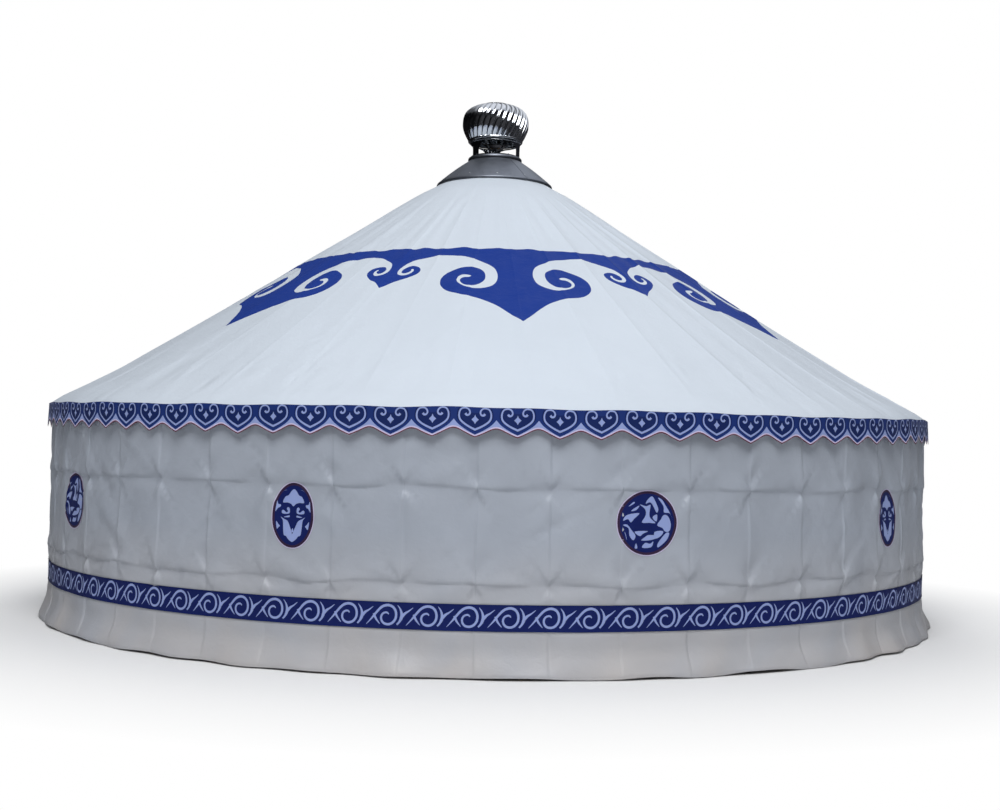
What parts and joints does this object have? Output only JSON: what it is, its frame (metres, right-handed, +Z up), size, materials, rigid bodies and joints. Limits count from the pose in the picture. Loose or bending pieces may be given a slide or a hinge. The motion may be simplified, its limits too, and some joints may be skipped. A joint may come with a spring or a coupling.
{
  "type": "round yurt",
  "caption": "Round yurt: pleated wall cover over a lattice wall, conical printed roof on poles and a crown, scalloped eave valance and a wind-driven turning roof ventilator.",
  "frame": {"origin": "centre of the floor circle at ground level", "axes": "+Z up along the yurt's axis; -Y is the side seen from the front; azimuth grows from -Y towards +X"},
  "size_m": [8.18, 8.18, 4.872],
  "materials": {
    "wall_canvas": "coated cloth, soft sheen, fold creases",
    "roof_canvas": "coated cloth, soft sheen, blue printed ornament",
    "blue_print": "printed coated cloth with pale blue lines and dark red piping",
    "pole_wood": "planed and oiled",
    "bright_steel": "polished stainless sheet",
    "flashing_metal": "dull grey sheet metal"
  },
  "bodies": {
    "yurt_frame": {"wall_cover_1": "wall_canvas", "wall_cover_2": "wall_canvas", "wall_cover_3": "wall_canvas", "wall_cover_4": "wall_canvas", "wall_cover_5": "wall_canvas", "wall_cover_6": "wall_canvas", "wall_cover_7": "wall_canvas", "lattice_wall_1": "pole_wood", "lattice_wall_2": "pole_wood", "lattice_wall_3": "pole_wood", "lattice_wall_4": "pole_wood", "lattice_wall_5": "pole_wood", "lattice_wall_6": "pole_wood", "lattice_wall_7": "pole_wood", "girth_band": "blue_print", "roof_gore_1": "roof_canvas", "roof_gore_2": "roof_canvas", "roof_gore_3": "roof_canvas", "roof_gore_4": "roof_canvas", "roof_gore_5": "roof_canvas", "roof_gore_6": "roof_canvas", "roof_gore_7": "roof_canvas", "roof_poles_1": "pole_wood", "roof_poles_2": "pole_wood", "roof_poles_3": "pole_wood", "roof_poles_4": "pole_wood", "roof_poles_5": "pole_wood", "roof_poles_6": "pole_wood", "roof_poles_7": "pole_wood", "crown_ring": "pole_wood", "eave_valance": "blue_print", "vent_flashing": "flashing_metal", "vent_base_flange": "bright_steel", "vent_neck": "bright_steel", "vent_spider": "bright_steel"},
    "vent_rotor": {"rotor_vanes": "bright_steel", "rotor_cap": "bright_steel", "rotor_ring": "bright_steel", "rotor_hub": "bright_steel"}
  },
  "joints": [
    {"name": "vent_spin", "type": "hinge", "parent": "yurt_frame", "child": "vent_rotor", "pos_m": [0, 0, 4.7], "axis": [0, 0, 1], "continuous": true}
  ]
}
